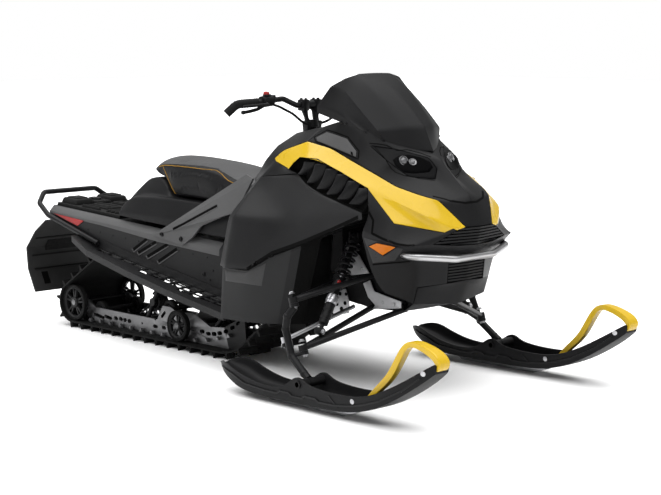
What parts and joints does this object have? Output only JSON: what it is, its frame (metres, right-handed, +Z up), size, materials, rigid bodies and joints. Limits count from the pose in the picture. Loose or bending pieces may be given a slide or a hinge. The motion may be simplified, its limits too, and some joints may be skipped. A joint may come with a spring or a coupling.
{
  "type": "snowmobile",
  "caption": "Snowmobile with a rubber track under a sheet tunnel, steerable skis with carrying loops, a padded seat, a handlebar and a dark windshield.",
  "frame": {"origin": "on the ground under the middle of the whole machine", "axes": "+X forward, +Y to the vehicle's left, +Z up"},
  "size_m": [2.9196, 1.22, 1.2001],
  "materials": {
    "charcoal": "satin",
    "black_plastic": "matte",
    "yellow": "gloss",
    "lamp": "clear lens",
    "screen": "dark tint",
    "dark_sheet": "satin",
    "dark_tube": "satin",
    "flap_rubber": "matte",
    "seat_cover": "matte vinyl",
    "track_rubber": "matte",
    "wheel_plastic": "matte",
    "rail_alloy": "brushed",
    "engine_metal": "matte",
    "cast_alloy": "cast",
    "shock": "satin",
    "rod_steel": "satin",
    "ski_plastic": "satin",
    "grip_rubber": "matte",
    "orange_lens": "orange reflector",
    "red_lens": "red lens",
    "silver_tube": "polished"
  },
  "bodies": {
    "chassis": {"console": "charcoal", "hood": "charcoal", "nose_cover": "charcoal", "nose_grilles": "black_plastic", "belly_pan": "black_plastic", "headlamps": "lamp", "side_vents": "black_plastic", "hood_flanks": "yellow", "side_panel_right": "charcoal", "side_panel_left": "charcoal", "lower_panel_right": "black_plastic", "lower_panel_left": "black_plastic", "windshield": "screen", "tunnel": "dark_sheet", "running_board_right": "dark_sheet", "running_board_left": "dark_sheet", "rear_bumper": "dark_tube", "snow_flap": "flap_rubber", "rear_deck": "dark_sheet", "seat_base": "black_plastic", "seat_cushion": "seat_cover", "seat_braces": "dark_sheet", "track": "track_rubber", "skid_wheels": "wheel_plastic", "skid_frame": "rail_alloy", "engine": "engine_metal", "bulkhead": "cast_alloy", "front_arms": "dark_tube", "front_shocks": "shock", "tail_lights": "red_lens", "side_reflectors": "orange_lens", "front_bumper": "silver_tube"},
    "handlebar": {"steering_post": "dark_tube", "handlebar": "dark_tube", "grips": "grip_rubber", "bar_controls": "black_plastic", "control_cables": "grip_rubber"},
    "spindle_right": {"spindle_right": "dark_tube"},
    "spindle_left": {"spindle_left": "dark_tube"},
    "tie_rod_right": {"tie_rod_right": "rod_steel"},
    "tie_rod_left": {"tie_rod_left": "rod_steel"},
    "ski_right": {"ski_right": "ski_plastic", "ski_loop_right": "yellow"},
    "ski_left": {"ski_left": "ski_plastic", "ski_loop_left": "yellow"}
  },
  "joints": [
    {"name": "steering", "type": "hinge", "parent": "chassis", "child": "handlebar", "pos_m": [0.26572, 0, 0.9456], "axis": [-0.1911, 0, 0.9816], "range_deg": [-35, 35]},
    {"name": "ski_steer_right", "type": "hinge", "parent": "chassis", "child": "spindle_right", "pos_m": [0.72854, -0.5002, 0.2064], "axis": [-0.2929, 0, 0.9562], "range_deg": [-27, 27]},
    {"name": "tie_rod_joint_right", "type": "hinge", "parent": "spindle_right", "child": "tie_rod_right", "pos_m": [0.63948, -0.51179, 0.2256], "axis": [-0.2929, 0, 0.9562], "range_deg": [-27, 27]},
    {"name": "ski_rock_right", "type": "hinge", "parent": "spindle_right", "child": "ski_right", "pos_m": [0.8103, -0.5385, 0.0984], "axis": [0, 1, 0], "range_deg": [-15, 15]},
    {"name": "ski_steer_left", "type": "hinge", "parent": "chassis", "child": "spindle_left", "pos_m": [0.72854, 0.5002, 0.2064], "axis": [-0.2929, 0, 0.9562], "range_deg": [-27, 27]},
    {"name": "tie_rod_joint_left", "type": "hinge", "parent": "spindle_left", "child": "tie_rod_left", "pos_m": [0.63948, 0.51179, 0.2256], "axis": [-0.2929, 0, 0.9562], "range_deg": [-27, 27]},
    {"name": "ski_rock_left", "type": "hinge", "parent": "spindle_left", "child": "ski_left", "pos_m": [0.8103, 0.5385, 0.0984], "axis": [0, 1, 0], "range_deg": [-15, 15]}
  ],
  "couplings": [
    {"joint": "ski_steer_right", "follows": "steering", "ratio": 0.77},
    {"joint": "tie_rod_joint_right", "follows": "steering", "ratio": -0.77},
    {"joint": "ski_steer_left", "follows": "steering", "ratio": 0.77},
    {"joint": "tie_rod_joint_left", "follows": "steering", "ratio": -0.77}
  ]
}
